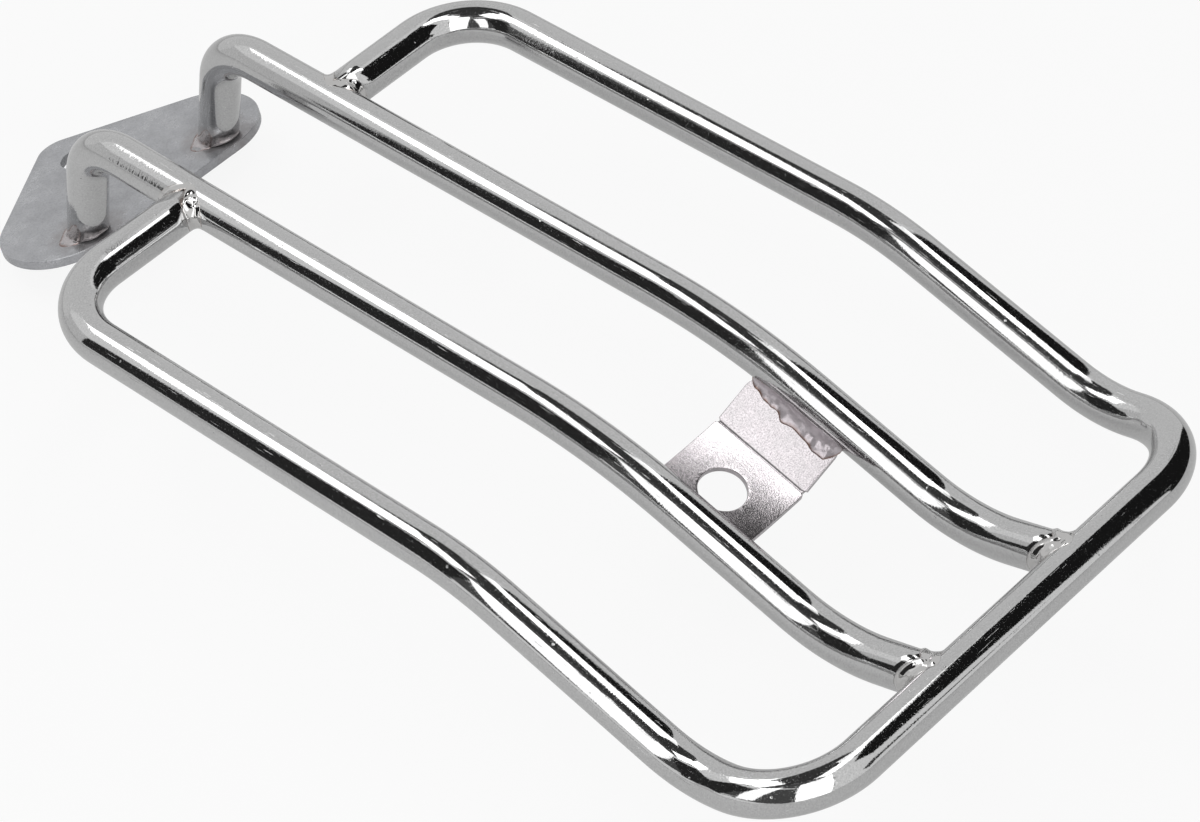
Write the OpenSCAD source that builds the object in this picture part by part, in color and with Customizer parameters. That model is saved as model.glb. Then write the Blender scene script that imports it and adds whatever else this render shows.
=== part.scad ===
// Motorcycle luggage rack: a bent bar hoop on two bent bar rails, with a
// bolt-on plate under the rails' front legs and a bent tab under their tail.
// X is across the rack, Y points to the mounting plate and Z is up from the
// flat deck. The origin is the centre of the plate's hole at its underside.

/* [Bar] */
// Diameter of the round bar of the hoop and the rails
bar_d = 12.7; // [9:0.1:16]
// Gap left between two pieces for the weld to fill
weld_gap = 0.1; // [0.05:0.05:0.3]

/* [Hoop] */
// Width of the hoop between the centres of its sides
hoop_w = 170.8; // [130:0.1:240]
// Flat deck from the hoop's front bar to the break
deck_l = 162.3; // [110:0.1:240]
// Length of the sloping run behind the break
slope_l = 78.3; // [50:0.1:120]
// Fall of the hoop along the sloping run
hoop_drop = 23.9; // [10:0.1:35]
// Length of the turned-up tail
tail_l = 36.3; // [30:0.1:60]
// Rise of the hoop along the tail
tail_rise = 9; // [2:0.1:16]
// Bend radius of the hoop's front corners
hoop_front_r = 22.9; // [12:0.1:30]
// Bend radius of the hoop's rear corners
hoop_rear_r = 25.1; // [12:0.1:30]
// Bend radius of the hoop where the slope begins
hoop_break_r = 99.6; // [40:0.1:150]
// Bend radius of the hoop where the tail begins
hoop_dip_r = 40; // [20:0.1:60]

/* [Rails] */
// Distance between the centres of the two rails
rail_pitch = 54.8; // [42:0.1:80]
// Length of the rails ahead of the hoop's front bar
rail_nose_l = 46.1; // [32:0.1:80]
// Distance by which the rails break ahead of the hoop
rail_break_lead = 4.2; // [0:0.1:8]
// Fall of the rails along the sloping run
rail_drop = 25.7; // [12:0.1:36]
// Bend radius of the rails where the slope begins
rail_break_r = 183.5; // [60:0.1:200]
// Bend radius of the rails where the tail begins
rail_dip_r = 51.7; // [30:0.1:70]
// Bend radius from the rails down to the legs
rail_nose_r = 19.9; // [12:0.1:28]
// Length of a leg from the nose's sharp corner to the plate
leg_l = 44; // [36:0.1:80]
// Forward lean of the legs, in degrees
leg_lean = 13.1; // [0:0.1:20]
// Angle by which a leg's end misses the plate behind, in degrees
leg_cut = 4.5; // [0:0.1:8]

/* [Mounting plate] */
// Thickness of the plate
plate_t = 3; // [2:0.1:6]
// Forward tilt of the plate, in degrees
plate_tilt = 14; // [0:0.1:20]
// Width of the plate across its rounded ends
plate_w = 96.4; // [80:0.1:130]
// Length of the plate ahead of the legs
plate_front = 53.6; // [45:0.1:80]
// Length of the plate behind the legs
plate_back = 8.8; // [7:0.1:16]
// Corner radius of the plate's two ends
plate_end_r = 20.5; // [10:0.1:21]
// Corner radius of the plate's nose
plate_nose_r = 9.4; // [6:0.1:14]
// Diameter of the bolt hole in the plate
plate_hole_d = 12; // [6:0.1:14]
// Distance of the bolt hole ahead of the legs
plate_hole_y = 37.2; // [28:0.1:42]

/* [Rear tab] */
// Thickness of the tab
tab_t = 2; // [1.5:0.1:4]
// Width of the tab along the rails
tab_w = 32.5; // [24:0.1:45]
// Start of the tab behind the rails' break
tab_start = 12.5; // [6:0.1:18]
// Depth of the tab's seat below the rails' centres
tab_depth = 12.8; // [10:0.1:20]
// Distance of the right bend from the rack's middle
tab_bend_x = 9.6; // [6:0.1:12]
// Length of the seat between its two bends
tab_seat_l = 31; // [26:0.1:34]
// Inner radius of the tab's bends
tab_bend_r = 1.2; // [0.8:0.1:3]
// Radius of the tab's corners at the rails
tab_corner_r = 3; // [1:0.1:5]
// Radius of the relief notches at the ends of the bends
tab_relief_r = 0.7; // [0.4:0.1:1.2]
// Diameter of the bolt hole in the tab
tab_hole_d = 14; // [8:0.1:16]

/* [Weld beads] */
// Leg length of the beads between two bars
bar_bead = 2.6; // [1.5:0.1:4]
// Leg length of the beads between a leg and the plate
leg_bead = 3.4; // [2:0.1:4.5]
// Leg length of the beads between a rail and the tab
tab_bead = 3.4; // [2:0.1:4.5]
// Crown of a bead above its flat face
bead_crown = 0.5; // [0.2:0.1:1]

/* [Hidden] */

$fn = 48;
bar_r = bar_d / 2;

// A straight run is drawn this much thinner a side than the bends at its ends
// and laps this far into them, so that every joint is a clean small step
bar_step = 0.014 * bar_r;
bar_lap = 0.5;
tab_step = 0.01;
tab_lap = 0.1;

rail_x = rail_pitch / 2;

// Lengthwise stations, from the hoop's front bar
break_y = -deck_l;
dip_y = break_y - slope_l;
rear_y = dip_y - tail_l;
rear_z = tail_rise - hoop_drop;
rail_break_y = break_y + rail_break_lead;
nose_y = rail_nose_l;
slope_a = atan2(rail_drop, rail_break_y - dip_y);
hoop_slope_a = atan2(hoop_drop, slope_l);
hoop_tail_a = atan2(tail_rise, tail_l);
tail_a = atan2(rear_z + rail_drop, tail_l);

// The legs and the plate's top face where their centre lines meet it
leg_dir = [0, sin(leg_lean), -cos(leg_lean)];
foot_lean = leg_lean + plate_tilt;
foot = [0, nose_y, 0] + leg_l * leg_dir;

// The bolt hole at the plate's underside, which is the origin
hole_at = foot
    + plate_hole_y * [0, cos(plate_tilt), -sin(plate_tilt)]
    - plate_t * [0, sin(plate_tilt), cos(plate_tilt)];

// The tab's section, across the rack and above the rails' centres
tab_right = [tab_bend_x, -tab_depth];
tab_left = [tab_bend_x - tab_seat_l, -tab_depth];
tab_hole_x = tab_bend_x - tab_seat_l / 2;
arm_right = [rail_x, 0] - tab_right;
arm_left = [-rail_x, 0] - tab_left;

// The dip's bend ends where the rear corner's bend begins
dip_room = norm([tail_l, tail_rise]) - hoop_rear_r - bar_lap;
dip_r = min(hoop_dip_r, dip_room / tan((hoop_slope_a + hoop_tail_a) / 2));

function unit(v) = v / norm(v);
function flat(l) = [for (a = l) each a];
function turn(p, i) = let (
    a = unit(p[i] - p[i - 1]),
    b = unit(p[i + 1] - p[i])
) acos(max(-1, min(1, a * b)));
function reach(p, r, i) = i <= 0 || i >= len(p) - 1 ? 0 : r[i - 1] * tan(turn(p, i) / 2);

// Places its children with their Z along one direction and X near another
module aim(at, z, x) {
    w = unit(z);
    v = unit(cross(w, x));
    u = cross(v, w);
    multmatrix([
        [u[0], v[0], w[0], at[0]],
        [u[1], v[1], w[1], at[1]],
        [u[2], v[2], w[2], at[2]],
        [0, 0, 0, 1]
    ])
        children();
}

// A round bar along sharp points p, bent to the radii r
module bent_bar(p, r, d) {
    for (i = [0:len(p) - 2]) {
        dir = unit(p[i + 1] - p[i]);
        side = abs(dir[0]) > 0.9 ? [0, 0, 1] : [1, 0, 0];
        lap_a = i == 0 ? 0 : bar_lap;
        lap_b = i == len(p) - 2 ? 0 : bar_lap;
        from = p[i] + dir * (reach(p, r, i) - lap_a);
        run = norm(p[i + 1] - p[i]) - reach(p, r, i) - reach(p, r, i + 1);
        aim(from, dir, side)
            cylinder(h = run + lap_a + lap_b, d = d - 2 * bar_step);
    }
    for (i = [1:len(p) - 2]) {
        a = unit(p[i] - p[i - 1]);
        b = unit(p[i + 1] - p[i]);
        inward = unit(b - a * (a * b));
        centre = p[i] - a * reach(p, r, i) + inward * r[i - 1];
        aim(centre, cross(-inward, a), -inward)
            rotate_extrude(angle = turn(p, i))
                translate([r[i - 1], 0])
                    circle(d = d);
    }
}

// A closed skin over rings of points, either a loop or with flat ends
module skin(rings, loop = false) {
    n = len(rings);
    m = len(rings[0]);
    sides = [
        for (i = [0:(loop ? n - 1 : n - 2)])
            for (j = [0:m - 1])
                for (half = [0, 1])
                    let (k = (i + 1) % n, l = (j + 1) % m)
                        half == 0
                            ? [i * m + j, k * m + l, i * m + l]
                            : [i * m + j, k * m + j, k * m + l]
    ];
    first = [for (j = [0:m - 1]) j];
    last = [for (j = [m - 1:-1:0]) (n - 1) * m + j];
    polyhedron(points = flat(rings), faces = loop ? sides : concat(sides, [first, last]), convexity = 4);
}

// The bead's face from one toe to the other, crowned by h along out
function crown(s, m, out, h) = [
    for (t = [0.25, 0.5, 0.75])
        s + (m - s) * t + out * (4 * t * (1 - t) * h)
];

// Ripples of a hand-laid bead at the angle or length t
function ripple(t, seed) = 1
    + 0.10 * sin(3 * t + 57 * seed)
    + 0.08 * sin(7 * t + 91 * seed)
    + 0.05 * sin(16 * t + 23 * seed);

// Ring of points of a bead where a bar along X ends on a bar along Y
function tee_ring(f, seed) = let (
    r = bar_r,
    w = bar_bead * (0.45 + 0.55 * abs(cos(f))) * ripple(f, seed),
    side = cos(f) / sqrt(pow(cos(f), 2) + 0.04),
    x = r * abs(cos(f)),
    over = x - 0.5 * w * (1 - side * side),
    out_stub = [0, cos(f), sin(f)],
    out_main = [abs(cos(f)), 0, sin(f)],
    out = unit(out_stub + out_main),
    root = [x, r * cos(f), r * sin(f)] + weld_gap * 1.5 * out,
    stub = [x + w, r * cos(f), r * sin(f)] + weld_gap * out_stub,
    at_main = [over, r * cos(f) + w * side, sign(sin(f)) * sqrt(r * r - over * over)],
    main = at_main + weld_gap * unit([at_main[0], 0, at_main[2]])
) concat([root, stub], crown(stub, main, out, bead_crown * ripple(f + 40, seed)), [main]);

// Bead around the end of a bar along X that is coped to a bar along Y
module tee_bead(seed) {
    rings = [for (f = [0:7.5:352.5]) tee_ring(f + 0.01, seed)];
    skin(rings, loop = true);
}

// Ring of points of a bead around a leg that leans back from the plate's
// normal. The bead ends in a blob at the angle to and fades out at from.
function foot_ring(f, from, to, seed) = let (
    fade = min(1, (f - from) / 60 + 0.25, sqrt(max(0.04, (to - f) / 22))),
    blob = 1 + 0.35 * exp(-pow((to - 28 - f) / 24, 2)),
    w = leg_bead * fade * blob * ripple(f, seed),
    up = [0, -sin(foot_lean), cos(foot_lean)],
    ray = [cos(f), sin(f) * cos(foot_lean), sin(f) * sin(foot_lean)],
    rim = (bar_r + 1.3 * weld_gap) * (ray - up * sin(f) * tan(foot_lean)),
    root = rim + up * weld_gap / cos(foot_lean),
    toe = root + w * unit([cos(f), sin(f) * cos(foot_lean), 0]),
    top = root + 0.85 * w * up,
    out = unit(unit(toe - root) + up)
) concat([root, toe], crown(toe, top, out, bead_crown * 1.4 * fade * blob), [top]);

module foot_bead(from, to, seed) {
    skin([for (f = [from:7:to]) foot_ring(f, from, to, seed)]);
}

// Height of a rail's centre over the slope's line, s down from the break
function rail_sag(s) = let (
    r = rail_break_r,
    ahead = max(0, r * tan(slope_a / 2) - s)
) sqrt(r * r - ahead * ahead) - r;

// Ring of points of the bead along an arm of the tab, s down the slope. The
// bead lies on the arm's face that is lift off the arm's top line.
function arm_ring(s, side, bend, lift, seed) = let (
    fade = min(1, (s - tab_start) / 5 + 0.35, (tab_start + tab_w - s) / 5 + 0.35),
    w = tab_bead * fade * ripple(s * 11, seed),
    rail = [side * rail_x, rail_sag(s)],
    e = unit([side * rail_x, 0] - bend),
    face = [-e[1], e[0]],
    line = bend + face * (lift + weld_gap),
    along = (rail - line) * e,
    off = cross(e, rail - line),
    far = bar_r + 1.3 * weld_gap,
    near = along - sqrt(far * far - off * off),
    root = line + e * (near - 0.05),
    toe = line + e * (near - w),
    a0 = atan2(root[1] - rail[1], root[0] - rail[0]),
    a1 = a0 - w * 1.1 / far * 180 / PI,
    seat = [for (t = [1, 2 / 3, 1 / 3]) rail + far * [cos(a0 + (a1 - a0) * t), sin(a0 + (a1 - a0) * t)]],
    out = unit(unit(toe - root) + unit(seat[0] - root))
) [
    for (q = concat([root, toe], crown(toe, seat[0], out, bead_crown * fade + 0.4), seat))
        [q[0], q[1], s]
];

module arm_bead(side, bend, lift, seed) {
    steps = ceil((tab_w - 0.6) / 1.2);
    skin([
        for (i = [0:steps])
            arm_ring(tab_start + 0.3 + (tab_w - 0.6) * i / steps, side, bend, lift, seed)
    ]);
}

// Places a thing made in the deck's own frame so that the hole is the origin
module place() {
    translate(-hole_at)
        children();
}

// Frame of the tab: X across, Y up from the slope and Z down the slope
module on_slope() {
    translate([0, rail_break_y, 0])
        rotate([90 + slope_a, 0, 0])
            children();
}

// Frame of the plate: its top face with the legs' line at zero
module on_plate() {
    translate(foot)
        rotate([-plate_tilt, 0, 0])
            children();
}

module rail_bar(side, grow) {
    p = [
        [side * rail_x, nose_y, 0] + (leg_l + bar_d) * leg_dir,
        [side * rail_x, nose_y, 0],
        [side * rail_x, rail_break_y, 0],
        [side * rail_x, dip_y, -rail_drop],
        [side * rail_x, rear_y, rear_z]
    ];
    bent_bar(p, [rail_nose_r, rail_break_r, rail_dip_r], bar_d + 2 * grow);
}

module rear_bar_space() {
    translate([0, rear_y, rear_z])
        rotate([0, 90, 0])
            cylinder(h = hoop_w, r = bar_r + weld_gap, center = true);
}

module rail(side) {
    difference() {
        rail_bar(side, 0);
        rear_bar_space();
        on_plate()
            translate([0, bar_r / cos(foot_lean), weld_gap])
                rotate([-leg_cut, 0, 0])
                    translate([-rack_half(), -4 * bar_d, -4 * bar_d])
                        cube([2 * rack_half(), 8 * bar_d, 4 * bar_d]);
    }
}

function rack_half() = hoop_w / 2 + bar_d;

// Outer hoop, one bar from the right rail round the back to the left rail
module outer_hoop() {
    w = hoop_w / 2;
    p = [
        [rail_x, 0, 0],
        [w, 0, 0],
        [w, break_y, 0],
        [w, dip_y, -hoop_drop],
        [w, rear_y, rear_z],
        [-w, rear_y, rear_z],
        [-w, dip_y, -hoop_drop],
        [-w, break_y, 0],
        [-w, 0, 0],
        [-rail_x, 0, 0]
    ];
    r = [
        hoop_front_r, hoop_break_r, dip_r, hoop_rear_r,
        hoop_rear_r, dip_r, hoop_break_r, hoop_front_r
    ];
    color("silver")
        place()
            difference() {
                bent_bar(p, r, bar_d);
                for (side = [-1, 1])
                    translate([side * rail_x, 0, 0])
                        rotate([90, 0, 0])
                            cylinder(h = 3 * bar_d, r = bar_r + weld_gap, center = true);
            }
}

// Two rails, each one bar from the plate up, back and down to the rear bar
module left_rail() {
    color("gainsboro")
        place()
            rail(-1);
}

module right_rail() {
    color("lightgrey")
        place()
            rail(1);
}

// Flat plate with two rounded ends and a rounded nose that holds the bolt hole
module mounting_plate() {
    end_at = [plate_w / 2 - plate_end_r, plate_end_r - plate_back];
    nose_at = [0, plate_front - plate_nose_r];
    span = nose_at - end_at;
    a = atan2(span[1], span[0]) - acos((plate_end_r - plate_nose_r) / norm(span));
    m = [cos(a), sin(a)];
    e = end_at + plate_end_r * m;
    n = nose_at + plate_nose_r * m;
    color("darkgrey")
        place()
            on_plate()
                translate([0, 0, -plate_t])
                    difference() {
                        union() {
                            linear_extrude(plate_t)
                                polygon([
                                    [end_at[0], -plate_back], e, n,
                                    [-n[0], n[1]], [-e[0], e[1]], [-end_at[0], -plate_back]
                                ]);
                            translate([nose_at[0], nose_at[1], 0])
                                cylinder(h = plate_t, r = plate_nose_r);
                            for (side = [-1, 1])
                                translate([side * end_at[0], end_at[1], 0])
                                    cylinder(h = plate_t, r = plate_end_r);
                        }
                        translate([0, plate_hole_y, -1])
                            cylinder(h = plate_t + 2, d = plate_hole_d);
                    }
}

// The strip before it is trimmed: a seat with an arm up to each rail
module tab_strip() {
    turn_r = atan2(arm_right[1], arm_right[0]);
    turn_l = atan2(arm_left[1], -arm_left[0]);
    in_r = tab_bend_r * tan(turn_r / 2);
    in_l = tab_bend_r * tan(turn_l / 2);
    translate([tab_left[0] + in_l, -tab_depth, tab_start])
        tab_run(tab_seat_l - in_l - in_r, 1, 1);
    translate([tab_right[0] - in_r, tab_bend_r - tab_depth, tab_start])
        rotate([0, 0, -90])
            tab_fold(turn_r);
    translate([tab_right[0], tab_right[1], tab_start])
        rotate([0, 0, turn_r])
            translate([in_r, 0, 0])
                tab_blade(norm(arm_right) - in_r);
    translate([tab_left[0] + in_l, tab_bend_r - tab_depth, tab_start])
        rotate([0, 0, -90 - turn_l])
            tab_fold(turn_l);
    translate([tab_left[0], tab_left[1], tab_start])
        rotate([0, 0, -turn_l])
            mirror([1, 0, 0])
                translate([in_l, 0, 0])
                    tab_blade(norm(arm_left) - in_l);
}

// Strip with two bends and a bolt hole, under the rails on the slope
module rear_tab() {
    color("rosybrown")
        place()
            difference() {
                on_slope()
                    tab_strip();
                for (side = [-1, 1])
                    rail_bar(side, weld_gap);
                on_slope()
                    translate([tab_hole_x, 1 - tab_depth, tab_start + tab_w / 2])
                        rotate([90, 0, 0])
                            cylinder(h = tab_t + 2, d = tab_hole_d);
                on_slope()
                    for (end = [0, tab_w])
                        for (bend = [tab_left, tab_right])
                            translate([bend[0], bend[1] + 1, tab_start + end])
                                rotate([90, 0, 0])
                                    cylinder(h = tab_t + 2, r = tab_relief_r);
            }
}

// Round part of a fold of the tab
module tab_fold(angle) {
    rotate_extrude(angle = angle)
        translate([tab_bend_r, 0])
            square([tab_t, tab_w]);
}

// Flat run of the tab below its top line, lapped into the bend at either end
module tab_run(run, lap_a, lap_b) {
    from = -lap_a * tab_lap;
    translate([from, tab_step - tab_t, 0])
        cube([run - from + lap_b * tab_lap, tab_t - 2 * tab_step, tab_w]);
}

// Flat blade of the tab that ends at a rail, its corners rounded
module tab_blade(run) {
    tip = run - bar_r;
    difference() {
        tab_run(tip + tab_t / 2, 1, 0);
        for (end = [0, 1])
            translate([tip - tab_corner_r, 0, end == 0 ? tab_corner_r : tab_w - tab_corner_r])
                mirror([0, 0, 1 - end])
                    rotate([90, 0, 0])
                        translate([0, 0, -1])
                            corner_tool(tab_corner_r, tab_t + 2);
    }
}

// What is cut off a square corner at +X +Y to round it
module corner_tool(r, h) {
    difference() {
        cube([2 * r, 2 * r, h]);
        cylinder(h = h, r = r);
    }
}

// Beads between the hoop's front ends and the rails
module hoop_weld_left() {
    color("tan")
        place()
            translate([-rail_x, 0, 0])
                rotate([0, 0, 180])
                    tee_bead(1);
}

module hoop_weld_right() {
    color("tan")
        place()
            translate([rail_x, 0, 0])
                tee_bead(2);
}

// Beads between the rails' rear ends and the rear bar
module rear_bead(side, seed) {
    translate([side * rail_x, rear_y, rear_z])
        rotate([-tail_a, 0, 0])
            rotate([0, 0, 90])
                tee_bead(seed);
}

module rear_weld_left() {
    color("tan")
        place()
            rear_bead(-1, 3);
}

module rear_weld_right() {
    color("tan")
        place()
            rear_bead(1, 4);
}

// Beads on the front and left of the legs, which leave the back of each open
module leg_weld_left() {
    color("tan")
        place()
            on_plate()
                translate([-rail_x, 0, 0])
                    foot_bead(-10, 221, 5);
}

module leg_weld_right() {
    color("tan")
        place()
            on_plate()
                translate([rail_x, 0, 0])
                    foot_bead(-10, 221, 6);
}

// Beads along the tab's arms: on top of the right arm, under the left arm
module tab_weld_left() {
    color("tan")
        place()
            on_slope()
                arm_bead(-1, tab_left, tab_t, 7);
}

module tab_weld_right() {
    color("tan")
        place()
            on_slope()
                arm_bead(1, tab_right, 0, 8);
}

outer_hoop();
left_rail();
right_rail();
mounting_plate();
rear_tab();
hoop_weld_left();
hoop_weld_right();
rear_weld_left();
rear_weld_right();
leg_weld_left();
leg_weld_right();
tab_weld_left();
tab_weld_right();
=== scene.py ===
# %% [markdown]
# # Motorcycle luggage rack
# A welded and chromed rack: an outer hoop and two rails of round steel bar, a
# bolt-on plate under the rails' front legs, a bent tab with a large hole, and
# the weld beads that hold them together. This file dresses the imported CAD
# model. The CAD gives every size and place, and Blender adds what a camera
# sees: mirror chrome, lumpy beads, satin plate and the studio around them.

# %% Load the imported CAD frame
import math

import bmesh
import bpy
import numpy as np
from mathutils import Matrix, Vector, noise


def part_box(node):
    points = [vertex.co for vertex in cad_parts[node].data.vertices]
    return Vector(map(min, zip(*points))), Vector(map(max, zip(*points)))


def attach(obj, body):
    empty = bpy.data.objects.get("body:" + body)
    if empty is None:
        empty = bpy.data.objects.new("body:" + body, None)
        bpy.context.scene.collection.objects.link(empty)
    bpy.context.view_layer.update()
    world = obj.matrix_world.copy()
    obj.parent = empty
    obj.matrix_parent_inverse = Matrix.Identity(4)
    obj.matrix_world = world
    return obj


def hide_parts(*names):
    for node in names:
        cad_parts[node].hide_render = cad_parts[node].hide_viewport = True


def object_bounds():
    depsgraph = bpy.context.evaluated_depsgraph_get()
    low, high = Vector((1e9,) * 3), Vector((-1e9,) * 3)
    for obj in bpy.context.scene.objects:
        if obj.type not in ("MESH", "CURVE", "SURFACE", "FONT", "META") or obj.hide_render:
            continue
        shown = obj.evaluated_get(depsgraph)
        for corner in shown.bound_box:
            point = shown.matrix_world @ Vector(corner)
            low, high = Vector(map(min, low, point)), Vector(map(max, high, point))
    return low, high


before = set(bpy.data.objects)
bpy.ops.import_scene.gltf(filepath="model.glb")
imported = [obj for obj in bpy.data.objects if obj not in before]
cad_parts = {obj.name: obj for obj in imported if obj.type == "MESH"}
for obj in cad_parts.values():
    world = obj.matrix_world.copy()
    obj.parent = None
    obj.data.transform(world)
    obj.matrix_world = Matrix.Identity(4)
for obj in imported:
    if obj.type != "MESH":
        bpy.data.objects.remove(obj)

cad_low, cad_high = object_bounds()
print("CAD box in mm:", [round(1000 * (b - a), 1) for a, b in zip(cad_low, cad_high)])

# %% [markdown]
# ## Camera
# The camera stands behind the rack, to its left and above it, with a long
# lens, as for a catalogue picture. Its place was worked out from the outlines
# of the bars. The photograph is a crop, so the middle of the lens isn't the
# middle of the picture, and a small shift of the sensor says by how much.

# %% Camera at the photograph's place
MM = 0.001
PICTURE_W, PICTURE_H = 1200, 822
FOCAL_PX = 4285.2
LENS_MIDDLE_PX = (624.43, 487.02)
SENSOR_MM = 36
CAMERA_AZIMUTH, CAMERA_ELEVATION, CAMERA_ROLL = -43.568, 45.215, -5.842
CAMERA_TARGET = Vector((-36.46, -266.63, 54.77)) * MM
CAMERA_DISTANCE = 1137.72 * MM
NEAREST_M, FARTHEST_M = 0.05, 50


def direction(azimuth, elevation):
    """Unit vector from the rack: azimuth 0 is behind it and 90 to its right."""
    a, e = math.radians(azimuth), math.radians(elevation)
    return Vector((math.sin(a) * math.cos(e), -math.cos(a) * math.cos(e), math.sin(e)))


lens = bpy.data.cameras.new("photo_camera")
lens.sensor_width = SENSOR_MM
lens.lens = FOCAL_PX / PICTURE_W * lens.sensor_width
lens.shift_x = (PICTURE_W / 2 - LENS_MIDDLE_PX[0]) / PICTURE_W
lens.shift_y = (LENS_MIDDLE_PX[1] - PICTURE_H / 2) / PICTURE_W
lens.clip_start, lens.clip_end = NEAREST_M, FARTHEST_M

back = direction(CAMERA_AZIMUTH, CAMERA_ELEVATION)
right = (-back).cross(Vector((0, 0, 1))).normalized()
roll = Matrix.Rotation(-math.radians(CAMERA_ROLL), 3, -back)
right = roll @ right
up = back.cross(right)
camera = bpy.data.objects.new("photo_camera", lens)
camera.matrix_world = Matrix((right, up, back)).transposed().to_4x4()
camera.location = CAMERA_TARGET + back * CAMERA_DISTANCE
bpy.context.scene.collection.objects.link(camera)
bpy.context.scene.camera = camera
bpy.context.scene.view_settings.view_transform = "Standard"
print("camera at", [round(c, 3) for c in camera.location], "lens", round(lens.lens, 1), "mm")

# %% [markdown]
# ## Shader tools
# Colours are picked as sRGB hex values, as a paint chart gives them. Shaders
# count in linear light, so one function turns one into the other. A second
# small function adds any shader node with its settings and its links.

# %% Colours and nodes


def linear(hex_colour):
    """A hex colour such as '#C4C6C9' as the linear RGBA that a shader takes."""
    parts = [int(hex_colour[i:i + 2], 16) / 255 for i in (1, 3, 5)]
    made = [p / 12.92 if p <= 0.04045 else ((p + 0.055) / 1.055) ** 2.4 for p in parts]
    return (*made, 1.0)


def add_node(tree, kind, sockets=None, **settings):
    """Adds a shader node. A socket takes a number, a colour, another output,
    or another node, which stands for its first output."""
    made = tree.nodes.new("ShaderNode" + kind)
    for name, value in settings.items():
        setattr(made, name, value)
    for name, value in (sockets or {}).items():
        if isinstance(value, bpy.types.Node):
            value = value.outputs[0]
        if isinstance(value, bpy.types.NodeSocket):
            tree.links.new(value, made.inputs[name])
        else:
            made.inputs[name].default_value = value
    return made


def new_material(name):
    """An empty material and its node tree."""
    made = bpy.data.materials.new(name)
    made.use_nodes = True
    made.node_tree.nodes.clear()
    return made, made.node_tree


print("the chart's grey #808080 in linear light:", round(linear("#808080")[0], 3))

# %% [markdown]
# ## Studio
# Chrome has no colour of its own: it shows the room. The room is a pale table
# under soft boxes, with dark flags between them. The boxes give the white
# bands along the bars and the flags give the black ones. The background is
# plain white. It comes from the colour that the camera, and the mirror bars,
# are shown there, and not from more light on the rack. On the table a tenth
# of the real light stays in the picture, which keeps a faint shadow there.

# %% World and table
ROOM_LIGHT = 0.55
ROOM_TO_MIRRORS, TABLE_TO_MIRRORS = 0.8, 0.2
ROOM_TO_CAMERA, TABLE_TO_CAMERA = 1.0, 0.9
TABLE_HALF = 4.0
TABLE_Z = cad_low.z - 0.0002


def shown_white(tree, to_camera, to_mirrors):
    """How much plain white a ray is shown here in place of the real light."""
    rays = add_node(tree, "LightPath").outputs
    gloss = add_node(tree, "Math", {0: rays["Is Glossy Ray"], 1: to_mirrors}, operation="MULTIPLY")
    seen = add_node(tree, "Math", {0: rays["Is Camera Ray"], 1: to_camera}, operation="MULTIPLY")
    seen = add_node(tree, "Math", {0: seen, 1: gloss}, operation="MAXIMUM")
    return add_node(tree, "Math", {0: seen, 1: rays["Is Transmission Ray"]}, operation="MAXIMUM")


def flat_card(name, corners, material):
    """A flat four-sided card through four corners in metres."""
    mesh = bpy.data.meshes.new(name)
    mesh.from_pydata([tuple(c) for c in corners], [], [range(len(corners))])
    mesh.materials.append(material)
    made = bpy.data.objects.new(name, mesh)
    bpy.context.scene.collection.objects.link(made)
    return made


world = bpy.data.worlds.new("studio")
bpy.context.scene.world = world
world.use_nodes = True
sky = world.node_tree
sky.nodes.clear()
room = add_node(sky, "Background", {"Color": linear("#F6F6F6"), "Strength": ROOM_LIGHT})
white = add_node(sky, "Background", {"Color": (1, 1, 1, 1), "Strength": 1.0})
share = shown_white(sky, ROOM_TO_CAMERA, ROOM_TO_MIRRORS)
shown = add_node(sky, "MixShader", {0: share, 1: room, 2: white})
add_node(sky, "OutputWorld", {"Surface": shown})

# matt paper: a plain ground without edge or grain, so that the eye stays on the rack
table_material, tree = new_material("white_table")
paper = add_node(tree, "BsdfDiffuse", {"Color": linear("#C6C6C6")})
glow = add_node(tree, "Emission", {"Color": (1, 1, 1, 1), "Strength": 1.0})
share = shown_white(tree, TABLE_TO_CAMERA, TABLE_TO_MIRRORS)
mixed = add_node(tree, "MixShader", {0: share, 1: paper, 2: glow})
add_node(tree, "OutputMaterial", {"Surface": mixed})

quarters = ((-1, -1), (1, -1), (1, 1), (-1, 1))
flat_card("table", [(x * TABLE_HALF, y * TABLE_HALF, TABLE_Z) for x, y in quarters], table_material)
print("table at z =", round(1000 * TABLE_Z, 2), "mm")

# %% [markdown]
# ## Soft boxes and flags
# Each is a flat panel given by the direction of its middle, seen from the
# rack, and by how many degrees it spans. Their places were worked out from
# the bands on the photograph's bars and then rounded. The boxes are
# area lamps. The flags are cards that only mirrors see, so they shape the
# bands and take no light away. One of them, at the right, also shades the
# rack from the box above it, as a real flag does.

# %% Soft boxes
RACK_MIDDLE = (cad_low + cad_high) / 2


def panel_matrix(azimuth, elevation, distance, turn=0.0):
    """Where a panel is whose back looks away from the rack."""
    out = direction(azimuth, elevation)
    side = Vector((0, 0, 1)).cross(out).normalized()
    tall = out.cross(side)
    upright = Matrix((side, tall, out)).transposed().to_4x4()
    made = upright @ Matrix.Rotation(math.radians(turn), 4, "Z")
    made.translation = RACK_MIDDLE + out * distance
    return made


def span(degrees, distance):
    """Width of a panel that spans that many degrees at that distance."""
    return 2 * distance * math.tan(math.radians(degrees) / 2)


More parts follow.
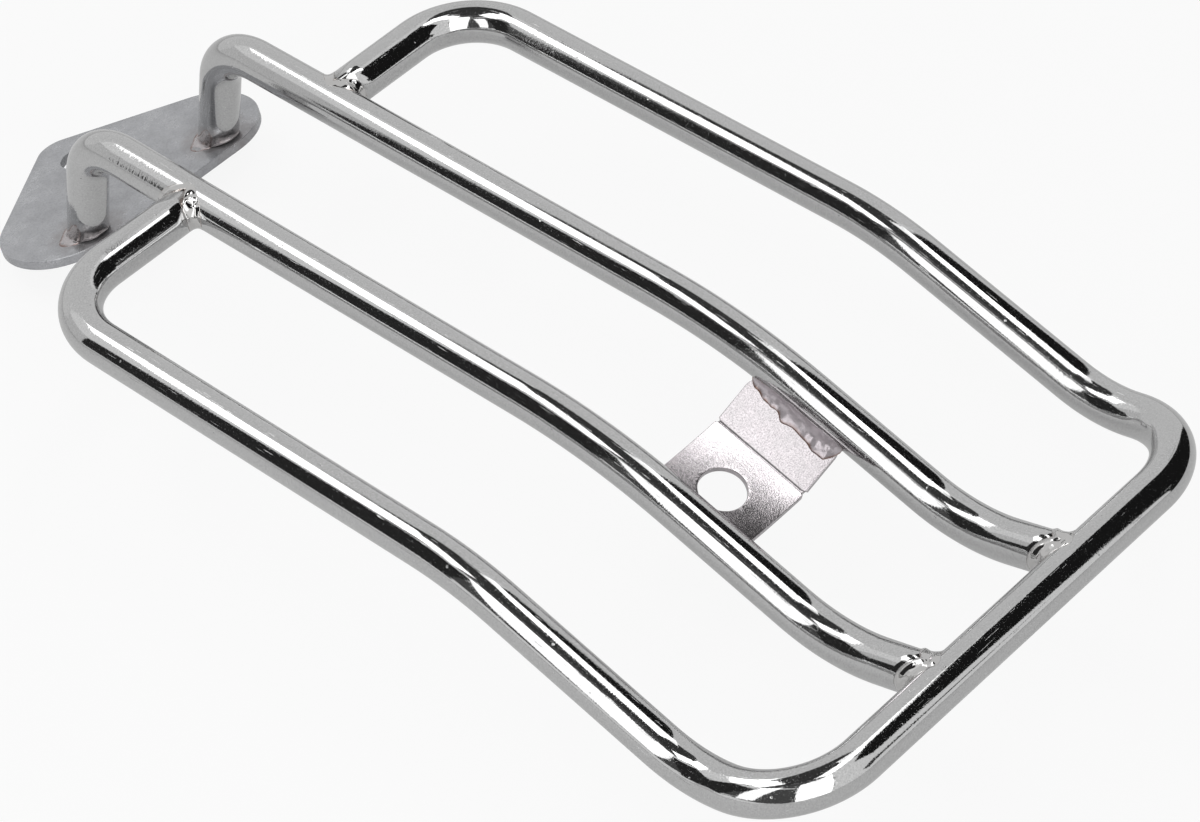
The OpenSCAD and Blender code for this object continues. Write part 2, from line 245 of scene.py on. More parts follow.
# name: azimuth, elevation, metres away, degrees wide, degrees high, turn, brightness
SOFT_BOXES = {
    "box_overhead": (40, 77, 1.7, 35, 11, -14, 2.6),
    "box_front": (-170, 56.5, 1.15, 24, 15, 7, 2.5),
    "box_front_left": (-142, 66, 1.05, 25, 15, 12, 2.5),
    "box_left": (-84, 34.5, 0.7, 17, 48, 1, 1.8),
    "box_behind": (-34, 21, 2.4, 31, 95, 2, 2.0),
    "box_right": (83, 70, 0.9, 17, 13, -96, 1.5),
}
for name, (azimuth, elevation, away, wide, high, turn, bright) in SOFT_BOXES.items():
    lamp = bpy.data.lights.new(name, "AREA")
    lamp.shape = "RECTANGLE"
    lamp.size, lamp.size_y = span(wide, away), span(high, away)
    lamp.energy = bright * math.pi * lamp.size * lamp.size_y
    lamp_object = bpy.data.objects.new(name, lamp)
    lamp_object.matrix_world = panel_matrix(azimuth, elevation, away, turn)
    lamp_object.visible_camera = False
    bpy.context.scene.collection.objects.link(lamp_object)
    print(name, round(lamp.size, 2), "by", round(lamp.size_y, 2), "m")

# %% Flags
# the same, with how light a flag looks as the last number
FLAGS = {
    "flag_right": (59.5, 11, 0.7, 58, 106, 4, 0.012),
    "flag_left": (-119, 29.5, 0.72, 29, 47.5, -1.5, 0.028),
    "flag_ceiling": (168, 78, 3.6, 43.5, 44.5, 12, 0.05),
    "flag_behind_high": (-63, 69.5, 3.9, 22.5, 64.5, 57.5, 0.09),
    "flag_behind_low": (-74, 30, 4.5, 102, 52, -16, 0.09),
    "wall_behind": (22, 15, 4.5, 15.5, 11.5, 24.5, 0.06),
    "wall_front": (143, 5, 2.75, 107, 91, -33, 0.74),
    "wall_left": (-164.5, 2.5, 4.5, 77, 47, 24.5, 0.66),
}
for name, (azimuth, elevation, away, wide, high, turn, bright) in FLAGS.items():
    # cloth of one even grey: the dark ones give the black bands, the pale ones the grey
    cloth, tree = new_material(name)
    grey = add_node(tree, "Emission", {"Color": (bright, bright, bright, 1), "Strength": 1.0})
    add_node(tree, "OutputMaterial", {"Surface": grey})
    w, h = span(wide, away) / 2, span(high, away) / 2
    flag = flat_card(name, [(-w, -h, 0), (w, -h, 0), (w, h, 0), (-w, h, 0)], cloth)
    flag.matrix_world = panel_matrix(azimuth, elevation, away, turn)
    flag.visible_camera = flag.visible_diffuse = False
    flag.visible_transmission = flag.visible_volume_scatter = False
    flag.visible_shadow = name == "flag_right"      # it shades the tab's seat from the box above it
    print(name, round(2 * w, 2), "by", round(2 * h, 2), "m")

# %% [markdown]
# ## Sizes of the rack
# These repeat the named sizes of the CAD source, in millimetres, in the deck's
# own frame: Y is 0 at the hoop's front bar and Z is 0 on the bars' centre
# lines over the flat deck. The deck ends at the break, goes down a slope to
# the dip, and rises again as a tail to the rear bar. One vector then moves
# everything to the row's frame, whose origin is the middle of the plate's hole.

# %% Sizes
BAR_R = 6.35
WELD_GAP = 0.1
RAIL_X = 54.8 / 2
HOOP_X = 170.8 / 2
BREAK_Y = -162.3
RAIL_BREAK_Y = BREAK_Y + 4.2
DIP_Y = BREAK_Y - 78.3
REAR_Y = DIP_Y - 36.3
HOOP_DROP, RAIL_DROP, TAIL_RISE = 23.9, 25.7, 9
REAR_Z = TAIL_RISE - HOOP_DROP
NOSE_Y = 46.1
LEG_L = 44
LEG_LEAN, PLATE_TILT = math.radians(13.1), math.radians(14)
LEG_DIR = np.array([0, math.sin(LEG_LEAN), -math.cos(LEG_LEAN)])
PLATE_ALONG = np.array([0, math.cos(PLATE_TILT), -math.sin(PLATE_TILT)])
PLATE_UP = np.array([0, math.sin(PLATE_TILT), math.cos(PLATE_TILT)])
PLATE_T = 3
HOLE_AHEAD = 37.2
FOOT = np.array([0, NOSE_Y, 0]) + LEG_L * LEG_DIR
ORIGIN = FOOT + HOLE_AHEAD * PLATE_ALONG - PLATE_T * PLATE_UP
print("the deck's frame moves by", np.round(-ORIGIN, 2), "mm")

# %% [markdown]
# ## Bars
# The real bars are bent cold from one length of round steel bar, so each is a
# circle swept along straight runs and round bends. A curve object could do
# it, but its bends aren't true arcs. Rings of points placed one by one are exact,
# and each can carry its distance along the bar, which the chrome's fine
# scratches follow.

# %% Centre line of a bar
STRAIGHT_STEP, ARC_STEP = 2.0, math.radians(1.5)


def unit(v):
    return np.asarray(v, float) / np.linalg.norm(v)


def bent_line(corners, radii):
    """Points and directions along a bar that is bent at its sharp corners."""
    corners = [np.asarray(c, float) for c in corners]
    dirs = [unit(b - a) for a, b in zip(corners, corners[1:])]
    turns = [math.acos(np.clip(a @ b, -1, 1)) for a, b in zip(dirs, dirs[1:])]
    reach = [0, *(r * math.tan(t / 2) for r, t in zip(radii, turns)), 0]
    points, along = [], []
    for i, d in enumerate(dirs):
        start = corners[i] + d * reach[i]
        run = np.linalg.norm(corners[i + 1] - corners[i]) - reach[i] - reach[i + 1]
        last = i == len(dirs) - 1
        steps = np.linspace(0, run, max(2, round(run / STRAIGHT_STEP)) + 1)
        for s in steps if last else steps[:-1]:
            points.append(start + d * s)
            along.append(d)
        if not last:
            inward = unit(dirs[i + 1] - d * (d @ dirs[i + 1]))
            middle = start + d * run + inward * radii[i]
            count = max(2, round(turns[i] / ARC_STEP))
            for a in np.linspace(0, turns[i], count + 1)[:-1]:
                points.append(middle + radii[i] * (d * math.sin(a) - inward * math.cos(a)))
                along.append(d * math.cos(a) + inward * math.sin(a))
    return np.array(points), np.array(along)


trial = bent_line([(0, 0, 0), (50, 0, 0), (50, 50, 0)], [20])[0]
print("a right-angled bend between two short runs takes", len(trial), "rings")

# %% Ends of a bar


def beside(vectors, axis):
    """What is left of vectors when their share along a unit axis is taken off."""
    return vectors - np.outer(vectors @ axis, axis)


def reach_cylinder(points, d, centre, axis, radius):
    """How far each point goes along d to the near side of a round bar."""
    axis = unit(axis)
    q, e = beside(points - centre, axis), beside(np.atleast_2d(d), axis)[0]
    a, b, c = e @ e, q @ e, (q * q).sum(1) - radius ** 2
    return (-b - np.sqrt(np.maximum(b * b - a * c, 0))) / a


def reach_plane(points, d, centre, normal):
    """How far each point goes along d to a plane."""
    return ((np.asarray(centre) - points) @ normal) / (np.asarray(d) @ normal)


trial = reach_cylinder(np.array([[0, 0, 20.0]]), (0, 0, -1), np.zeros(3), (1, 0, 0), BAR_R)
print("from 20 mm over a bar's middle its skin is", round(float(trial[0]), 2), "mm away")

# %% Sweep a bar
AROUND = 96
CAP_SHARES = (0.97, 0.8, 0.55, 0.3)
SLANT = (0.3, 0.5, 0.81)        # no bar starts along it, so it can set where a ring begins


def sweep_bar(name, points, along, ends, material):
    """A round bar along a centre line, each end cut to the piece it meets."""
    u = unit(np.cross(along[0], SLANT))
    angles = np.linspace(0, 2 * math.pi, AROUND, endpoint=False)
    rings, stations, total = [], [], 0.0
    for i, (p, d) in enumerate(zip(points, along)):
        u = unit(u - d * (u @ d))
        v = np.cross(d, u)
        circle = np.outer(np.cos(angles), u) + np.outer(np.sin(angles), v)
        total += np.linalg.norm(p - points[i - 1]) if i else 0
        if i in (0, len(points) - 1):
            d_out, cut = (-d, ends[0]) if i == 0 else (d, ends[1])
            shares = (1.0, *CAP_SHARES) if i else (*CAP_SHARES[::-1], 1.0)
            for share in shares:
                ring = p + BAR_R * share * circle
                ring = ring + np.outer(cut(ring, d_out), d_out)
                rings.append(ring)
                stations.append(total)
        else:
            rings.append(p + BAR_R * circle)
            stations.append(total)
    verts = (np.concatenate(rings) - ORIGIN) * MM
    faces = []
    for k in range(len(rings) - 1):
        here, there = k * AROUND, (k + 1) * AROUND
        for j in range(AROUND):
            n = (j + 1) % AROUND
            faces.append((here + j, here + n, there + n, there + j))
    first = list(range(AROUND))[::-1]
    last = [(len(rings) - 1) * AROUND + j for j in range(AROUND)]
    mesh = bpy.data.meshes.new(name)
    mesh.from_pydata(verts.tolist(), [], faces + [first, last])
    grid = mesh.uv_layers.new(name="bar_grid")
    for face in mesh.polygons[:len(faces)]:
        k, j = divmod(face.index, AROUND)
        for loop, (dk, dj) in zip(face.loop_indices, ((0, 0), (0, 1), (1, 1), (1, 0))):
            round_it = (j + dj) / AROUND * 2 * math.pi * BAR_R * MM
            grid.data[loop].uv = (stations[k + dk] * MM, round_it)
    mesh.materials.append(material)
    mesh.shade_smooth()
    made = bpy.data.objects.new(name, mesh)
    bpy.context.scene.collection.objects.link(made)
    print(name, "is", round(total), "mm long,", len(faces), "faces")
    return made


print("a ring has", AROUND, "points,", round(2 * math.pi * BAR_R / AROUND, 2), "mm apart")

# %% [markdown]
# ## Chrome
# The bars are polished steel bar with bright chromium plating. Chromium is a
# grey mirror that throws back a little over half of the light. The polish
# leaves a slow waviness, hairlines along the bar, patches of fine grit, dull
# specks, a few pits and some slanting scratches. At the front of the left rail
# a grinding disc left a row of short marks across the bar.

# %% Chrome material
CHROME_DARK, CHROME_PALE = "#BABABA", "#D4D4D4"
CHROME_ROUGH = 0.03


def chrome(name, ground=None):
    """Bright plating. A grinding disc's marks lie round the ground point."""
    made, tree = new_material(name)
    where = add_node(tree, "TexCoord")
    place, on_bar = where.outputs["Object"], where.outputs["UV"]

    # the steel's slow waviness makes the bands' edges wander
    waves = add_node(tree, "TexNoise", {"Vector": place, "Scale": 1 / (14 * MM), "Detail": 1.0})

    # hairlines 0.45 mm apart draw the bands out along the bar
    along = add_node(tree, "Mapping", {"Vector": on_bar, "Scale": (1 / (30 * MM), 1 / (0.45 * MM), 1)})
    hairs = add_node(tree, "TexNoise", {"Vector": along, "Scale": 1.0, "Detail": 2.0})

    # a pit in the middle of each 5.5 mm cell that the bar's skin happens to cut
    cells = add_node(tree, "TexVoronoi", {"Vector": place, "Scale": 1 / (5.5 * MM)})
    pits = add_node(tree, "MapRange", {
        "Value": cells.outputs["Distance"],
        "From Min": 0.03, "From Max": 0.07, "To Min": 1.0, "To Max": 0.0,
    })

    # grit is deeper in patches of 28 mm, where it frays the edge of a band
    grit = add_node(tree, "TexNoise", {"Vector": place, "Scale": 1 / (0.55 * MM), "Detail": 2.0})
    patches = add_node(tree, "TexNoise", {"Vector": place, "Scale": 1 / (28 * MM), "Detail": 2.0})
    grit_depth = add_node(tree, "MapRange", {
        "Value": patches,
        "From Min": 0.48, "From Max": 0.66, "To Min": 0.0025 * MM, "To Max": 0.016 * MM,
    })

    # scratches cross the bar at a slant, few and short
    slant = add_node(tree, "Mapping", {
        "Vector": on_bar, "Rotation": (0, 0, 0.9), "Scale": (1 / (11 * MM), 1 / (0.35 * MM), 1),
    })
    marks = add_node(tree, "TexNoise", {"Vector": slant, "Scale": 1.0, "Detail": 1.0})
    scratches = add_node(tree, "MapRange", {"Value": marks, "From Min": 0.7, "From Max": 0.78})

    # each layer of relief, its depth, and whether it goes into the metal
    relief = [
        (waves, 0.02 * MM, False),
        (hairs, 0.0015 * MM, False),
        (pits, 0.07 * MM, True),
        (grit, grit_depth, False),
        (scratches, 0.02 * MM, True),
    ]
    if ground:
        across = add_node(tree, "Mapping", {
            "Vector": on_bar, "Rotation": (0, 0, 0.35), "Scale": (1 / (0.9 * MM), 1 / (7 * MM), 1),
        })
        ticks = add_node(tree, "TexNoise", {"Vector": across, "Scale": 1.0, "Detail": 2.0})
        far = add_node(tree, "VectorMath", {0: place, 1: ground}, operation="DISTANCE")
        tick_depth = add_node(tree, "MapRange", {
            "Value": far.outputs["Value"],
            "From Min": 7 * MM, "From Max": 14 * MM, "To Min": 0.035 * MM, "To Max": 0.0,
        })
        relief.append((ticks, tick_depth, False))
    bump = None
    for height, depth, inward in relief:
        sockets = {"Height": height, "Distance": depth}
        if bump is not None:
            sockets["Normal"] = bump
        bump = add_node(tree, "Bump", sockets, invert=inward)

    # the hairs blur the mirror a little, and dull specks half a millimetre wide blur it more
    haze = add_node(tree, "MapRange", {
        "Value": hairs,
        "From Min": 0.35, "From Max": 0.75, "To Min": CHROME_ROUGH, "To Max": CHROME_ROUGH * 2.2,
    })
    cloud = add_node(tree, "TexNoise", {
        "Vector": place, "Scale": 1 / (0.5 * MM), "Detail": 3.0, "Roughness": 0.8,
    })
    specks = add_node(tree, "MapRange", {"Value": cloud, "From Min": 0.54, "From Max": 0.72, "To Max": 0.26})
    dull = add_node(tree, "Math", {0: haze, 1: specks}, operation="ADD")
    speckle = add_node(tree, "MapRange", {"Value": cloud, "From Min": 0.3, "From Max": 0.7})
    colour = add_node(tree, "Mix", {
        0: speckle, 6: linear(CHROME_DARK), 7: linear(CHROME_PALE),
    }, data_type="RGBA")
    shine = add_node(tree, "BsdfPrincipled", {
        "Base Color": colour.outputs[2], "Metallic": 1.0,
        "Roughness": dull, "Normal": bump,
    })
    add_node(tree, "OutputMaterial", {"Surface": shine})
    print(made.name, "has", len(relief), "layers of relief")
    return made


# the hoop and the rails are hard mirrors: long black and white bands along grey bars
GROUND_AT = tuple((np.array([-RAIL_X - 3, 20, 5]) - ORIGIN) * MM)
hoop_chrome = chrome("hoop_bright_chrome_on_polished_steel")
rail_chrome = chrome("rail_bright_chrome_on_polished_steel", ground=GROUND_AT)

# %% Hoop
END_LEAD = 4.0      # how far outside the other bar a centre line starts
HOOP_RADII = [22.9, 99.6, 40, 25.1]     # front corner, break, dip and rear corner
hoop_corners = [
    (RAIL_X + BAR_R + END_LEAD, 0, 0), (HOOP_X, 0, 0), (HOOP_X, BREAK_Y, 0),
    (HOOP_X, DIP_Y, -HOOP_DROP), (HOOP_X, REAR_Y, REAR_Z),
]
hoop_corners += [(-x, y, z) for x, y, z in reversed(hoop_corners)]
hoop_line = bent_line(hoop_corners, HOOP_RADII + HOOP_RADII[::-1])


def meet_rail(side):
    """The cut of the hoop's end against the rail of that side."""
    middle = np.array([side * RAIL_X, 0, 0])
    return lambda points, d: reach_cylinder(points, d, middle, (0, 1, 0), BAR_R + WELD_GAP)


hoop = sweep_bar("hoop_bar", *hoop_line, (meet_rail(1), meet_rail(-1)), hoop_chrome)
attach(hoop, "root")
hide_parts("outer_hoop")

# %% Rails
RAIL_RADII = [19.9, 183.5, 51.7]    # over the leg, break and dip
LEG_CUT = math.radians(4.5)
FOOT_LEAN = LEG_LEAN + PLATE_TILT


def meet_plate(points, d):
    """The leg's end, tipped up behind, so that it rests on its front edge."""
    tip = FOOT + BAR_R / math.cos(FOOT_LEAN) * PLATE_ALONG + WELD_GAP * PLATE_UP
    normal = math.cos(LEG_CUT) * PLATE_UP + math.sin(LEG_CUT) * PLATE_ALONG
    return reach_plane(points, d, tip, normal)


def meet_rear_bar(points, d):
    """The cut of a rail's end against the hoop's rear bar."""
    return reach_cylinder(points, d, np.array([0, REAR_Y, REAR_Z]), (1, 0, 0), BAR_R + WELD_GAP)


tail_dir = unit(np.array([0, REAR_Y - DIP_Y, REAR_Z + RAIL_DROP]))
for side, name in ((-1, "left_rail"), (1, "right_rail")):
    x = np.array([side * RAIL_X, 0, 0])
    rail_corners = [
        x + FOOT - LEG_DIR * (BAR_R + END_LEAD), x + (0, NOSE_Y, 0), x + (0, RAIL_BREAK_Y, 0),
        x + (0, DIP_Y, -RAIL_DROP), x + (0, REAR_Y, REAR_Z) - tail_dir * (BAR_R + END_LEAD),
    ]
    line = bent_line(rail_corners, RAIL_RADII)
    rail = sweep_bar(name + "_bar", *line, (meet_plate, meet_rear_bar), rail_chrome)
    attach(rail, "root")
    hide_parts(name)

# %% [markdown]
# ## Mounting plate
# The plate is cut from 3 mm sheet and its edges are just broken, by 0.3 mm.
# A bevel modifier could round them, but rings of points stacked down the
# edge, each a little further in, give the same soft edge with clean faces.

# %% Outlines in a plane
PLATE_W, PLATE_FRONT, PLATE_BACK = 96.4, 53.6, 8.8
PLATE_END_R, PLATE_NOSE_R = 20.5, 9.4
PLATE_HOLE_AT, PLATE_HOLE_R = np.array([0, HOLE_AHEAD]), 6.0


def arc(centre, radius, start, stop, step=4):
    """Points on an arc, with angles in degrees."""
    count = max(2, round(abs(stop - start) / step))
    angles = np.radians(np.linspace(start, stop, count + 1))
    return np.stack([centre[0] + radius * np.cos(angles), centre[1] + radius * np.sin(angles)], 1)


def outward(loop):
    """Unit vectors that point out of a closed loop that runs anticlockwise."""
    ahead = np.roll(loop, -1, 0) - np.roll(loop, 1, 0)
    made = np.stack([ahead[:, 1], -ahead[:, 0]], 1)
    return made / np.linalg.norm(made, axis=1)[:, None]


end_at = np.array([PLATE_W / 2 - PLATE_END_R, PLATE_END_R - PLATE_BACK])
nose_at = np.array([0, PLATE_FRONT - PLATE_NOSE_R])
reach = nose_at - end_at
narrows = math.acos((PLATE_END_R - PLATE_NOSE_R) / np.linalg.norm(reach))
tangent = math.degrees(math.atan2(reach[1], reach[0]) - narrows)
plate_loop = np.concatenate([
    arc(end_at, PLATE_END_R, -90, tangent),
    arc(nose_at, PLATE_NOSE_R, tangent, 180 - tangent),
    arc(end_at * (-1, 1), PLATE_END_R, 180 - tangent, 270),
])
print("plate outline:", len(plate_loop), "points,", np.round(np.ptp(plate_loop, 0), 1), "mm")

# %% Plate mesh
EDGE_R, TAB_EDGE_R = 0.3, 0.2
EDGE_ANGLES = np.radians([90, 67, 45, 22, 0])


def edge_stack(loop, depth, edge):
    """Rings down the wall of a plate of that depth, its edges rounded."""
    out = outward(loop)
    rings = []
    for a in EDGE_ANGLES:
        rings.append((loop - out * edge * (1 - math.cos(a)), -edge * (1 - math.sin(a))))
    low = [(ring, -depth - z) for ring, z in reversed(rings)]
    return rings + low


def plate_mesh(name, outer, hole, depth, edge):
    """A flat plate with one hole, its top face at height zero."""
    bm = bmesh.new()
    walls = []
    for loop in (outer, hole):
        rings = []
        for ring, z in edge_stack(loop, depth, edge):
            rings.append([bm.verts.new((x, y, z)) for x, y in ring])
        for a, b in zip(rings, rings[1:]):
            for j in range(len(a)):
                n = (j + 1) % len(a)
                bm.faces.new((a[j], b[j], b[n], a[n]))
        walls.append(rings)
    for level in (0, -1):
        edges = []
        for rings in walls:
            ring = rings[level]
            edges += [bm.edges.get((ring[j], ring[(j + 1) % len(ring)])) for j in range(len(ring))]
        bmesh.ops.triangle_fill(bm, use_beauty=True, use_dissolve=False, edges=edges)
    bmesh.ops.recalc_face_normals(bm, faces=bm.faces)
    mesh = bpy.data.meshes.new(name)
    bm.to_mesh(mesh)
    bm.free()
    print(name, "mesh:", len(mesh.polygons), "faces")
    return mesh


def show(name, mesh, material, replaced):
    """Puts a finished mesh in the scene as a piece of the rack."""
    mesh.materials.append(material)
    mesh.shade_smooth()
    made = bpy.data.objects.new(name, mesh)
    bpy.context.scene.collection.objects.link(made)
    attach(made, "root")
    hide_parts(replaced)
    return made


def flat_normals(piece):
    """Keeps big flat faces flat where they meet a small rounded edge."""
    weigh = piece.modifiers.new("flat_faces", "WEIGHTED_NORMAL")
    weigh.mode, weigh.weight, weigh.keep_sharp = "FACE_AREA", 100, True


# %% [markdown]
# ## Satin plate finish
# The plate went through the same plating bath as the bars but was never
# polished, so it is satin: it blurs what it mirrors. The rolled sheet below
# gives faint blotches and specks. Round each leg's foot a brown-grey patch is
# painted shade, for the leg's shadow and reflection on the plate. Such a skin
# also scatters light by itself. A share that isn't metallic stands for that,
# and it keeps the plate grey where it faces a dark flag.

# %% Plate material


def satin(name, dark, pale, pit, pit_share, rough, grain_mm, grain_depth_mm, blotch_mm, metallic):
    """A dull plated finish, with blotches between two tints and darker pits."""
    made, tree = new_material(name)
    where = add_node(tree, "TexCoord").outputs["Object"]
    blotch = add_node(tree, "TexNoise", {
        "Vector": where, "Scale": 1 / (blotch_mm * MM), "Detail": 4.0, "Roughness": 0.6,
    })
    grain = add_node(tree, "TexNoise", {
        "Vector": where, "Scale": 1 / (grain_mm * MM), "Detail": 2.0, "Roughness": 0.7,
    })
    shade = add_node(tree, "MapRange", {"Value": blotch, "From Min": 0.3, "From Max": 0.7})
    colour = add_node(tree, "Mix", {0: shade, 6: linear(dark), 7: linear(pale)}, data_type="RGBA")
    pits = add_node(tree, "MapRange", {
        "Value": grain, "From Min": 0.56, "From Max": 0.34, "To Max": pit_share,
    })
    colour = add_node(tree, "Mix", {0: pits, 6: colour.outputs[2], 7: linear(pit)}, data_type="RGBA")
    haze = add_node(tree, "MapRange", {
        "Value": blotch,
        "From Min": 0.3, "From Max": 0.7, "To Min": rough * 0.8, "To Max": rough * 1.25,
    })
    depth = grain_depth_mm * MM
    bump = add_node(tree, "Bump", {"Height": grain, "Distance": depth})
    shine = add_node(tree, "BsdfPrincipled", {
        "Metallic": metallic, "Base Color": colour.outputs[2],
        "Roughness": haze, "Normal": bump,
    })
    add_node(tree, "OutputMaterial", {"Surface": shine})
    print(made.name, "is", round(100 * metallic), "per cent metallic")
    return made, tree, shine, where


def painted_foot_shade(tree, shine, where):
    """Painted shade round the legs: a brown-grey patch with a cloudy edge, where the leg shades the plate.
    """
    colour = shine.inputs["Base Color"].links[0].from_socket
    cloud = add_node(tree, "TexNoise", {
        "Vector": where, "Scale": 1 / (5 * MM), "Detail": 4.0, "Roughness": 0.65,
    })
    for side in (-1, 1):
        foot = (np.array([side * RAIL_X, 0, 0]) + FOOT - ORIGIN) * MM
        far = add_node(tree, "VectorMath", {0: where, 1: tuple(foot)}, operation="DISTANCE")
        near = add_node(tree, "MapRange", {
            "Value": far.outputs["Value"],
            "From Min": 7 * MM, "From Max": 19 * MM, "To Min": 1.0, "To Max": 0.0,
        }, interpolation_type="SMOOTHSTEP")
        # painted shade: the plate darkens within 7 to 19 mm of each foot, broken up by the cloud
        mix = add_node(tree, "Math", {0: near, 1: cloud}, operation="MULTIPLY")
        amount = add_node(tree, "MapRange", {"Value": mix, "From Min": 0.24, "From Max": 0.6, "To Max": 0.6})
        sockets = {0: amount, 6: colour, 7: linear("#878180")}
        colour = add_node(tree, "Mix", sockets, data_type="RGBA").outputs[2]
    tree.links.new(colour, shine.inputs["Base Color"])


# soft blurred greys with faint blotches, and painted shade round the feet of the legs
plate_satin, *plate_nodes = satin(
    "plate_satin_plating_on_rolled_steel", "#A0A1A4", "#BABBBE", "#76787B",
    pit_share=0.35, rough=0.24, grain_mm=0.6, grain_depth_mm=0.016, blotch_mm=9.0, metallic=0.55,
)
painted_foot_shade(*plate_nodes)

# %% Plate in place
plate_hole = arc(PLATE_HOLE_AT, PLATE_HOLE_R, 360, 0)[:-1]
plate_shape = plate_mesh("plate", plate_loop, plate_hole, PLATE_T, EDGE_R)
to_row = Matrix(((1, 0, 0), tuple(PLATE_ALONG), tuple(PLATE_UP))).transposed().to_4x4()
to_row.translation = Vector((FOOT - ORIGIN) * MM)
plate_shape.transform(to_row @ Matrix.Scale(MM, 4))
plate = show("plate", plate_shape, plate_satin, "mounting_plate")
flat_normals(plate)
plate_low, plate_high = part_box("mounting_plate")
print("plate box in mm:", [round(v * 1000, 2) for v in (*plate_low, *plate_high)])

# %% [markdown]
# ## Rear tab
# The real tab is cut flat from 2 mm strip, with small relief notches where it
# will fold, and is then bent twice. The mesh is made in the same order: a flat
# outline with its hole is cut across at the fold lines, and then every point
# is carried round the folds. Bending left the seat between the folds sagging
# a little, and a little more at its free edges. That is too small to see as a
# shape, but it bends the seat's reflections.

# %% Folds of the tab
TAB_T, TAB_W, TAB_START, TAB_DEPTH = 2.0, 32.5, 12.5, 12.8
TAB_SAG = 0.45
TAB_EDGE_SAG = 0.8      # the share by which the free edges sag more
TAB_BEND_X, TAB_SEAT, TAB_BEND_R = 9.6, 31.0, 1.2
TAB_CORNER_R, TAB_RELIEF_R, TAB_HOLE_R = 3.0, 0.7, 7.0
SEAT_MIDDLE, SEAT_HALF = TAB_BEND_X - TAB_SEAT / 2, TAB_SEAT / 2

# for each side: where its bend's corner is, its angle, how far before the
# corner the bend starts, and how long the arm is
TAB_FOLDS = []
for side, bend_x in ((-1, TAB_BEND_X - TAB_SEAT), (1, TAB_BEND_X)):
    arm = np.array([side * RAIL_X - bend_x, TAB_DEPTH])
    angle = math.atan2(arm[1], abs(arm[0]))
    TAB_FOLDS.append((side, bend_x, angle, TAB_BEND_R * math.tan(angle / 2), np.linalg.norm(arm)))


def folded(t, drop, y):
    """Where a point of the flat strip ends up: t along the strip from its
    middle, y across it, and drop below the top face."""
    for side, bend_x, angle, inset, arm in TAB_FOLDS:
        past = side * (t - bend_x) + inset
        if past > 0 and side * (t - SEAT_MIDDLE) > 0:
            a = min(past / TAB_BEND_R, angle)
            rest = max(0.0, past - TAB_BEND_R * angle)
            r = TAB_BEND_R + drop
            x = bend_x - side * inset + side * (r * math.sin(a) + rest * math.cos(a))
            return x, TAB_BEND_R - r * math.cos(a) + rest * math.sin(a) - TAB_DEPTH
    off = (t - SEAT_MIDDLE) / SEAT_HALF
    edge = (2 * y / TAB_W - 1) ** 2
    sag = TAB_SAG * (1 - min(1.0, off * off)) * (1 + TAB_EDGE_SAG * edge)
    return t, -TAB_DEPTH - drop - sag


flat_ends, fold_lines = [], []
for side, bend_x, angle, inset, arm in TAB_FOLDS:
    flat_ends.append(bend_x + side * (arm - BAR_R - inset + TAB_BEND_R * angle - inset))
    fold_lines.append((bend_x - side * inset, bend_x + side * (TAB_BEND_R * angle - inset)))
print("flat strip from", np.round(flat_ends, 2), "folds at", np.round(fold_lines, 2))

# %% Tab cut flat
NOTCH_STEP, CORNER_STEP = 30, 12        # degrees between points


def notch(x, y, facing):
    """A half-round relief in the strip's edge."""
    return arc((x, y), TAB_RELIEF_R, *((180, 0) if facing > 0 else (0, -180)), step=NOTCH_STEP)


def turn_at(x, y, start):
    """A quarter turn at a corner of the strip."""
    return arc((x, y), TAB_CORNER_R, start, start + 90, CORNER_STEP)


left_end, right_end = flat_ends
left_notch, right_notch = [sum(pair) / 2 for pair in fold_lines]
tab_loop = np.concatenate([
    notch(left_notch, 0, 1), notch(right_notch, 0, 1),
    turn_at(right_end - TAB_CORNER_R, TAB_CORNER_R, -90),
    turn_at(right_end - TAB_CORNER_R, TAB_W - TAB_CORNER_R, 0),
    notch(right_notch, TAB_W, -1), notch(left_notch, TAB_W, -1),
    turn_at(left_end + TAB_CORNER_R, TAB_W - TAB_CORNER_R, 90),
    turn_at(left_end + TAB_CORNER_R, TAB_CORNER_R, 180),
])
tab_hole = arc((SEAT_MIDDLE, TAB_W / 2), TAB_HOLE_R, 360, 0)[:-1]
tab_mesh = plate_mesh("tab", tab_loop, tab_hole, TAB_T, TAB_EDGE_R)

# %% Tab folded
CREASE_SHADE_MM = 0.16          # how wide the painted crease shade lies along a fold line
bm = bmesh.new()
bm.from_mesh(tab_mesh)
cut_x = []
for start, stop in fold_lines:
    cut_x += [start - 0.5, start - 0.2, *np.linspace(start, stop, 7), stop + 0.2, stop + 0.5]
cut_x += list(np.linspace(fold_lines[0][1], fold_lines[1][0], 14)[1:-1])
cut_y = np.linspace(0, TAB_W, 15)[1:-1]
cuts = [((x, 0, 0), (1, 0, 0)) for x in cut_x] + [((0, y, 0), (0, 1, 0)) for y in cut_y]
for at, normal in cuts:
    whole = [*bm.verts, *bm.edges, *bm.faces]
    bmesh.ops.bisect_plane(bm, geom=whole, plane_co=at, plane_no=normal, dist=1e-5)

